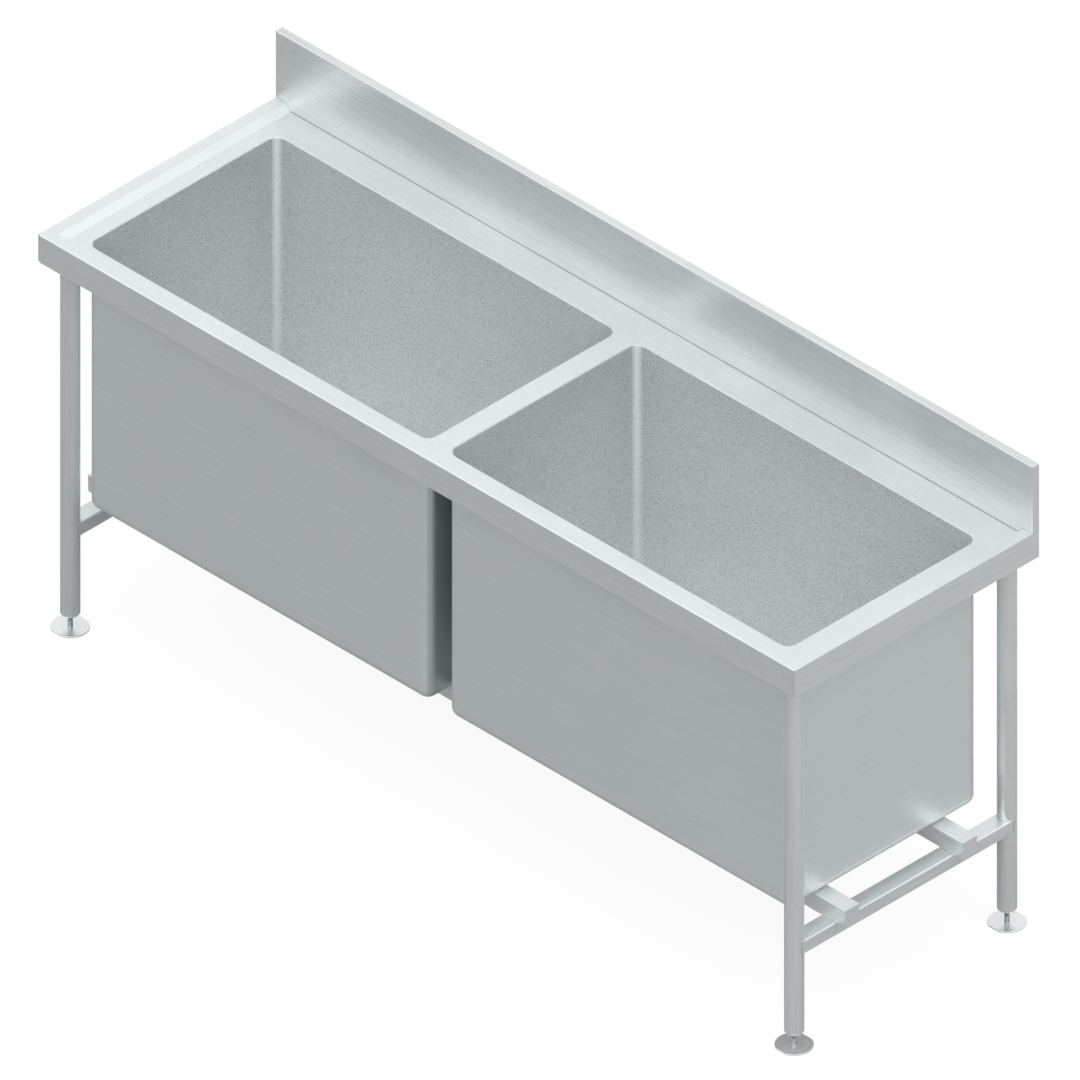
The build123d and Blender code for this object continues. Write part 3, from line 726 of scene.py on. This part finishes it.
@dataclass
class Bowl:
    """One deep bowl with its waste outlet, gasket, backnut, strainer and stopper, in millimetres."""

    side: str
    thread_pitch: float = 2.309          # 11 turns to the inch
    thread_depth: float = 1.3
    thread_gap: float = 1.0              # plain part above the thread
    thread_rows: int = 10                # rows of points to one turn of the thread
    flange: float = 2.0                  # thickness, and width of its bevelled edge
    wall: float = 2.0
    cup_radius: float = 42.0
    outlet_radius: float = 23.9
    outlet_wall: float = 3.4
    outlet_length: float = 25.0
    facets: int = 96

    def waste_outline(self) -> list[tuple[float, float]]:
        """Draws the waste's section, with close rows where its thread is.

        Returns:
            The (radius, height) points in millimetres.
        """
        bottom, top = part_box(f"waste_body_{self.side}")
        rim, low, high = (top.x - bottom.x) / 2 / MM, bottom.z / MM, top.z / MM
        seat = high - self.flange
        floor = low + self.outlet_length
        cup, bore = self.cup_radius, self.outlet_radius - self.outlet_wall
        count = round(self.outlet_length / self.thread_pitch * self.thread_rows)
        points = [(cup - self.wall, high), (rim - self.flange, high), (rim, seat), (cup, seat), (cup, floor)]
        points += [(self.outlet_radius, floor - self.outlet_length * i / count) for i in range(count + 1)]
        return points + [(bore, low), (bore, floor + self.wall), (cup - self.wall, floor + self.wall)]

    def make_waste(self, tree: ThreadTree, finish: bpy.types.Material) -> bpy.types.Object:
        """Makes the waste's body with its pipe thread, in place of the plain one.

        Args:
            tree: the thread's tree.
            finish: the turned steel.

        Returns:
            The body of the waste.
        """
        node = f"waste_body_{self.side}"
        bottom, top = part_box(node)
        centre = (bottom + top) / 2
        mesh = lathe(f"{node}_threaded", self.waste_outline(), (centre.x, centre.y), self.facets)
        waste = new_object(f"{node}_threaded", mesh)
        tree.apply(waste, finish, {
            "Axis": (centre.x, centre.y, 0.0), "Pitch": self.thread_pitch * MM,
            "Depth": self.thread_depth * MM, "Low": bottom.z - self.thread_pitch * MM / 2,
            "High": bottom.z + (self.outlet_length - self.thread_gap) * MM,
            "Inner Radius": (self.outlet_radius - self.outlet_wall / 4) * MM,
        })
        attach(waste, "frame")
        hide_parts(node)
        LOG.info("%s: %d faces", waste.name, len(waste.data.polygons))
        return waste

    def dress(self, nodes: Nodes, thread: ThreadTree, rubber: bpy.types.Material) -> None:
        """Polishes the bowl and its fittings.

        Args:
            nodes: all the nodes of the frame.
            thread: the tree that cuts the waste's thread.
            rubber: the finish of the gasket and the stopper.
        """
        side = self.side
        bowl = BowlPolished("satin_stainless_bowl_" + side, grain=Grain.LEVEL,
                            centre=tuple(middle(f"bowl_{side}"))).build()
        dress(nodes, bowl, [f"bowl_{side}"])
        axis = tuple(middle(f"waste_body_{side}"))
        turned = Turned(f"turned_stainless_waste_{side}", axis=axis).build()
        dress(nodes, turned, [f"waste_body_{side}", f"waste_backnut_{side}"])
        self.make_waste(thread, turned)
        bright = Turned(f"polished_stainless_strainer_{side}", axis=axis, roughness=0.16, spread=0.02,
                        relief=0.02).build()
        dress(nodes, bright, [f"strainer_{side}"])
        dress(nodes, rubber, [f"waste_gasket_{side}", f"strainer_stopper_{side}"])
        LOG.info("bowl_%s: satin bowl, turned waste, polished strainer", side)


@dataclass
class Underframe:
    """Legs, side rails, crossbars, and the fittings under the top, with the welds between them."""

    bead_radius: float = 1.3             # millimetres
    bar_inset: float = 4.0               # millimetres, from a rail's edge to the end of a crossbar's weld
    rail_facets: int = 16                # points of a weld line round half a leg

    def dress(self, nodes: Nodes) -> None:
        """Polishes each tube along its length, and leaves the hidden fittings as rolled.

        Args:
            nodes: all the nodes of the frame.
        """
        upright = BeltPolished("satin_stainless_leg_tube", grain=Grain.ALONG_Z).build()
        dress(nodes, upright, [f"{kind}_{corner}" for kind in ("leg", "leg_insert") for corner in CORNERS])
        rails = BeltPolished("satin_stainless_rail_tube", grain=Grain.ALONG_Y).build()
        dress(nodes, rails, [f"side_rail_{side}" for side in SIDES])
        bars = BeltPolished("satin_stainless_crossbar_tube", grain=Grain.ALONG_X, metallic=0.7,
                            shade="#cdd2d2", colour="#fafcfc", speckle=0.7, speck_size=2.2).build()
        dress(nodes, bars, [f"crossbar_{end}" for end in ENDS])
        dress(nodes, rails, [f"crossbar_cap_{corner}" for corner in CORNERS])
        rolled = MillRolled("mill_stainless").build()
        hidden = [f"top_channel_{side}" for side in SIDES] + [f"leg_socket_{corner}" for corner in CORNERS]
        dress(nodes, rolled, hidden + ["leg_screws"])
        LOG.info("legs, rails and crossbars: satin tube; channels, sockets and screws: mill finish")

    def cope_line(self, end: str, side: str) -> list[Point]:
        """The closed line where a side rail meets a leg.

        Args:
            end: front or back.
            side: left or right.

        Returns:
            The line's points in metres.
        """
        leg_low, leg_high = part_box(f"leg_{end}_{side}")
        rail_low, rail_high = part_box(f"side_rail_{side}")
        centre = (leg_low + leg_high) / 2
        radius = (leg_high.x - leg_low.x) / 2
        half = (rail_high.x - rail_low.x) / 2
        sweep = math.asin(min(half / radius, 1.0))
        inwards = -ENDS[end]
        arc = []
        for index in range(self.rail_facets + 1):
            angle = sweep * (2 * index / self.rail_facets - 1)
            arc.append((centre.x + radius * math.sin(angle), centre.y + inwards * radius * math.cos(angle)))
        top = [(x, y, rail_high.z) for x, y in arc]
        bottom = [(x, y, rail_low.z) for x, y in reversed(arc)]
        return top + bottom

    def bar_lines(self, end: str, side: str) -> list[list[Point]]:
        """The two short lines where a crossbar sits on a side rail.

        Args:
            end: front or back.
            side: left or right.

        Returns:
            Each line's points in metres.
        """
        rail_low, rail_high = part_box(f"side_rail_{side}")
        bar_low, bar_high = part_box(f"crossbar_{end}")
        inset = self.bar_inset * MM
        return [[(rail_low.x + inset, y, rail_high.z), (rail_high.x - inset, y, rail_high.z)]
                for y in (bar_low.y, bar_high.y)]

    def socket_line(self, end: str, side: str) -> list[Point]:
        """The round line where a leg's socket meets its channel.

        Args:
            end: front or back.
            side: left or right.

        Returns:
            The line's points in metres.
        """
        low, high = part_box(f"leg_socket_{end}_{side}")
        centre, radius = (low + high) / 2, (high.y - low.y) / 2
        count = 4 * self.rail_facets
        return [(centre.x + radius * math.cos(math.tau * index / count),
                 centre.y + radius * math.sin(math.tau * index / count), high.z) for index in range(count)]

    def weld(self, tree: WeldTree, finish: bpy.types.Material) -> bpy.types.Object:
        """Lays the weld beads of the whole frame.

        Args:
            tree: the weld's tree.
            finish: the weld metal.

        Returns:
            The beads, as one piece.
        """
        points: list[Point] = []
        edges: list[tuple[int, int]] = []
        for end in ENDS:
            for side in SIDES:
                closed = [self.cope_line(end, side), self.socket_line(end, side)]
                for line in closed + self.bar_lines(end, side):
                    first = len(points)
                    points.extend(line)
                    edges.extend((first + i, first + i + 1) for i in range(len(line) - 1))
                    if line in closed:
                        edges.append((len(points) - 1, first))
        mesh = bpy.data.meshes.new("weld_beads")
        mesh.from_pydata(points, edges, [])
        beads = new_object("weld_beads", mesh)
        tree.apply(beads, finish, {"Bead Radius": self.bead_radius * MM})
        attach(beads, "frame")
        LOG.info("weld_beads: %d faces", len(beads.data.polygons))
        return beads


@dataclass
class Foot:
    """One levelling foot: a pad, and an M10 stem that turns in the leg's insert, in millimetres."""

    corner: str
    pitch: float = 1.5
    depth: float = 0.92                  # of the thread
    shaft: float = 5.0                   # radius over the thread
    pivot: float = 3.0                   # radius
    head_height: float = 0.8
    shoulder_rise: float = 2.3           # bottom of the pivot's head to the shoulder above the pad
    flats_low: float = 5.2               # bottom of the pivot's head to the spanner flats
    flats_high: float = 12.2
    flats: float = 8.0                   # spanner size
    run_out: float = 1.0                 # plain shaft above the flats
    chamfer: float = 1.0
    rows: int = 8                        # rows of points to one turn of the thread
    facets: int = 32

    def stem_outline(self, low: float, high: float) -> list[tuple[float, float]]:
        """Draws the stem's section, from its lower to its upper end.

        Where the spanner flats end, it has two points: one for the flats, and one for the round shaft.

        Args:
            low: bottom of the pivot's head.
            high: top of the stem.

        Returns:
            The (radius, height) points in millimetres.
        """
        steps = [(0.0, 0.0), (self.shaft, 0.0), (self.shaft, self.head_height),
                 (self.pivot, self.head_height), (self.pivot, self.shoulder_rise),
                 (self.shaft, self.shoulder_rise)]
        steps += [(self.shaft, rise) for rise in (self.flats_low, self.flats_high) for _ in range(2)]
        points = [(radius, low + rise) for radius, rise in steps]
        start, stop = low + self.flats_high + self.run_out, high - self.chamfer
        count = round((stop - start) / self.pitch * self.rows)
        points += [(self.shaft, start + (stop - start) * i / count) for i in range(count + 1)]
        return points + [(self.shaft - self.chamfer, high), (0.0, high)]

    def make_stem(self, tree: ThreadTree, finish: bpy.types.Material) -> bpy.types.Object:
        """Makes the threaded stem in place of the plain one.

        Args:
            tree: the thread's tree.
            finish: the turned steel, darker by painted shade.

        Returns:
            The stem.
        """
        node = f"foot_stem_{self.corner}"
        bottom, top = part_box(node)
        centre = (bottom + top) / 2
        low, high = bottom.z / MM, top.z / MM
        mesh = lathe(f"{node}_thread", self.stem_outline(low, high), (centre.x, centre.y), self.facets)
        half = self.flats / 2 * MM
        for vertex in self.flat_rings(mesh):
            vertex.co.x = centre.x + max(-half, min(half, vertex.co.x - centre.x))
        stem = new_object(f"{node}_threaded", mesh)
        tree.apply(stem, finish, {
            "Axis": (centre.x, centre.y, 0.0), "Pitch": self.pitch * MM, "Depth": self.depth * MM,
            "Low": (low + self.flats_high + self.run_out) * MM, "High": high * MM,
        })
        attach(stem, node)
        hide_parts(node)
        LOG.info("%s: %d faces", stem.name, len(stem.data.polygons))
        return stem

    def flat_rings(self, mesh: bpy.types.Mesh) -> list[bpy.types.MeshVertex]:
        """The points of the two rings that the spanner flats lie between, after the six below them."""
        first = 1 + 6 * self.facets
        return list(mesh.vertices)[first:first + 2 * self.facets]

    def dress(self, nodes: Nodes, thread: ThreadTree) -> None:
        """Gives the pad its turned finish, and cuts the stem's thread.

        Args:
            nodes: all the nodes of the frame.
            thread: the tree that cuts the thread.
        """
        pad = f"foot_pad_{self.corner}"
        axis = tuple(middle(pad))
        turned = Turned(f"turned_stainless_foot_{self.corner}", axis=axis, colour="#f3f6f6", shade="#e9eded",
                        metallic=0.8).build()
        dress(nodes, turned, [pad])
        # A darker grey than the pad: painted shade for the thread's grooves.
        threaded = Turned(f"thread_cut_stainless_{self.corner}", axis=axis, colour="#a9b0b2",
                          shade="#949b9e", roughness=0.38).build()
        self.make_stem(thread, threaded)
        LOG.info("%s: turned", pad)


# Studio

@dataclass(frozen=True)
class Lamp:
    """A large soft lamp, far away: where it hangs, how strong it is and how wide it looks in degrees."""

    name: str
    direction: Point
    strength: float
    width: float


@dataclass(frozen=True)
class Glow:
    """A faintly brighter part of the sky: its direction, what it adds, and how wide it is as cosines."""

    direction: Point
    gain: float
    inner: float
    outer: float


@dataclass
class Studio:
    """A pale floor, a soft sky and a parallel camera that looks down over the near right corner."""

    floor_size: float = 14.0             # metres
    floor_dark: float = 0.19             # the tone that lights the object, towards -X and -Y
    floor_light: float = 0.29            # and towards +X and +Y
    floor_reach: float = 1.5             # metres from the middle to either tone
    backdrop: float = 0.88               # how much of the floor's white is plain, with no shadow on it
    glossy_share: float = 0.15           # share of the white background in a reflection
    sky_level: float = 0.88
    glows: tuple[Glow, ...] = (
        Glow((0.58, 0.58, 0.58), 0.1, 0.97, 0.7),
        Glow((-0.58, -0.58, 0.58), 0.3, 0.97, 0.7),
    )
    lamps: tuple[Lamp, ...] = (
        Lamp("key", (0.456, -0.381, 0.79), 1.4, 90.0),
    )
    azimuth: float = 45.0
    elevation: float = 35.2644
    view_width: float = 2.01805          # metres, as all that follows
    view_distance: float = 8.0
    view_depth: float = 50.0
    target: Point = (0.0018, 0.0018, 0.53603)

    def white_share(self, tree: bpy.types.NodeTree) -> bpy.types.NodeSocket:
        """Tells how much of the white background a ray sees.

        Args:
            tree: the floor's or the sky's tree.

        Returns:
            One for the camera and through glass, and a small share for a reflection in metal.
        """
        path = add_node(tree, "ShaderNodeLightPath")
        gloss = add_node(tree, "ShaderNodeMath", {1: self.glossy_share}, {0: path.outputs["Is Glossy Ray"]},
                         operation="MULTIPLY")
        seen = add_node(tree, "ShaderNodeMath", None,
                        {0: path.outputs["Is Camera Ray"], 1: gloss.outputs[0]}, operation="ADD")
        share = add_node(tree, "ShaderNodeMath", None,
                         {0: seen.outputs[0], 1: path.outputs["Is Transmission Ray"]},
                         operation="ADD", use_clamp=True)
        return share.outputs[0]

    def make_floor(self) -> bpy.types.Object:
        """Makes the floor, which the camera sees nearly white, with the unit's faint shadow on it.

        Returns:
            The floor.
        """
        half = self.floor_size / 2
        mesh = bpy.data.meshes.new("floor")
        mesh.from_pydata([(-half, -half, 0), (half, -half, 0), (half, half, 0), (-half, half, 0)], [],
                         [(0, 1, 2, 3)])
        floor = new_object("floor", mesh)
        material = new_material("matt_studio_floor")
        tree = material.node_tree
        place = add_node(tree, "ShaderNodeTexCoord")
        away = tuple(Vector((1.0, 1.0, 0.0)).normalized())
        across = add_node(tree, "ShaderNodeVectorMath", {1: away}, {0: place.outputs["Object"]},
                          operation="DOT_PRODUCT")
        tone = add_node(tree, "ShaderNodeMapRange",
                        {"From Min": -self.floor_reach, "From Max": self.floor_reach,
                         "To Min": self.floor_dark, "To Max": self.floor_light},
                        {"Value": across.outputs["Value"]}, interpolation_type="SMOOTHSTEP")
        matt = add_node(tree, "ShaderNodeBsdfDiffuse", None, {"Color": tone.outputs["Result"]})
        faint = add_node(tree, "ShaderNodeBsdfDiffuse", {"Color": (*[1 - self.backdrop] * 3, 1.0)})
        white = add_node(tree, "ShaderNodeEmission", {"Strength": self.backdrop})
        backdrop = add_node(tree, "ShaderNodeAddShader", None, {0: faint.outputs[0], 1: white.outputs[0]})
        both = add_node(tree, "ShaderNodeMixShader", None,
                        {0: self.white_share(tree), 1: matt.outputs[0], 2: backdrop.outputs[0]})
        add_node(tree, "ShaderNodeOutputMaterial", None, {"Surface": both.outputs[0]})
        mesh.materials.append(material)
        return floor

    def make_sky(self) -> None:
        """Lights the scene from all round, and shows the camera a white background.

        The sky's strength is its plain level, to which each glow adds its own.
        """
        world = bpy.data.worlds.new("soft_sky")
        bpy.context.scene.world = world
        world.use_nodes = True
        tree = world.node_tree
        tree.nodes.clear()
        place = add_node(tree, "ShaderNodeTexCoord")
        sums: dict[int, bpy.types.NodeSocket] = {}
        for glow in self.glows:
            near = add_node(tree, "ShaderNodeVectorMath", {1: tuple(Vector(glow.direction).normalized())},
                            {0: place.outputs["Object"]}, operation="DOT_PRODUCT")
            gain = add_node(tree, "ShaderNodeMapRange",
                            {"From Min": glow.outer, "From Max": glow.inner, "To Max": glow.gain},
                            {"Value": near.outputs["Value"]}, interpolation_type="SMOOTHSTEP")
            sums[1] = gain.outputs["Result"]
            sums[0] = add_node(tree, "ShaderNodeMath", {0: self.sky_level}, sums, operation="ADD").outputs[0]
        sky = add_node(tree, "ShaderNodeBackground", {"Color": WHITE}, {"Strength": sums[0]})
        white = add_node(tree, "ShaderNodeBackground", {"Color": WHITE, "Strength": 1.0})
        both = add_node(tree, "ShaderNodeMixShader", None,
                        {0: self.white_share(tree), 1: sky.outputs[0], 2: white.outputs[0]})
        add_node(tree, "ShaderNodeOutputWorld", None, {"Surface": both.outputs[0]})

    def make_lamps(self) -> None:
        """Hangs the soft lamps."""
        for lamp in self.lamps:
            light = bpy.data.lights.new(lamp.name, "SUN")
            light.energy = lamp.strength
            light.angle = math.radians(lamp.width)
            holder = new_object(lamp.name, light)
            holder.rotation_euler = Vector(lamp.direction).to_track_quat("Z", "Y").to_euler()

    def make_camera(self) -> None:
        """Sets up the camera."""
        turn, rise = math.radians(self.azimuth), math.radians(self.elevation)
        away = Vector((math.sin(turn) * math.cos(rise), -math.cos(turn) * math.cos(rise), math.sin(rise)))
        lens = bpy.data.cameras.new("view")
        lens.type = "ORTHO"
        lens.ortho_scale = self.view_width
        lens.clip_end = self.view_depth
        camera = new_object("view", lens)
        camera.location = Vector(self.target) + self.view_distance * away
        camera.rotation_euler = away.to_track_quat("Z", "Y").to_euler()
        bpy.context.scene.camera = camera


def main() -> None:
    """Builds the looks, piece by piece."""
    logging.basicConfig(level=logging.INFO, format="%(name)s: %(message)s")
    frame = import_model()
    nodes = frame["nodes"]
    thread, weld = ThreadTree(), WeldTree()
    rubber = MouldedRubber("black_rubber").build()
    # The seam is a real weld; its darker grey is painted shade in the joint where the top meets the
    # splashback.
    seam_metal = WeldMetal("weld_stainless_seam", colour="#aeb5b5", shade="#9da4a4").build()
    sheets = Sheets()
    sheets.dress(nodes)
    sheets.seam(weld, seam_metal)
    for side in SIDES:
        Bowl(side).dress(nodes, thread, rubber)
    underframe = Underframe()
    underframe.dress(nodes)
    underframe.weld(weld, WeldMetal("weld_stainless").build())
    for corner in CORNERS:
        Foot(corner).dress(nodes, thread)
    studio = Studio()
    studio.make_floor()
    studio.make_sky()
    studio.make_lamps()
    studio.make_camera()
    bpy.context.scene.view_settings.view_transform = "Standard"


if __name__ == "__main__":
    main()
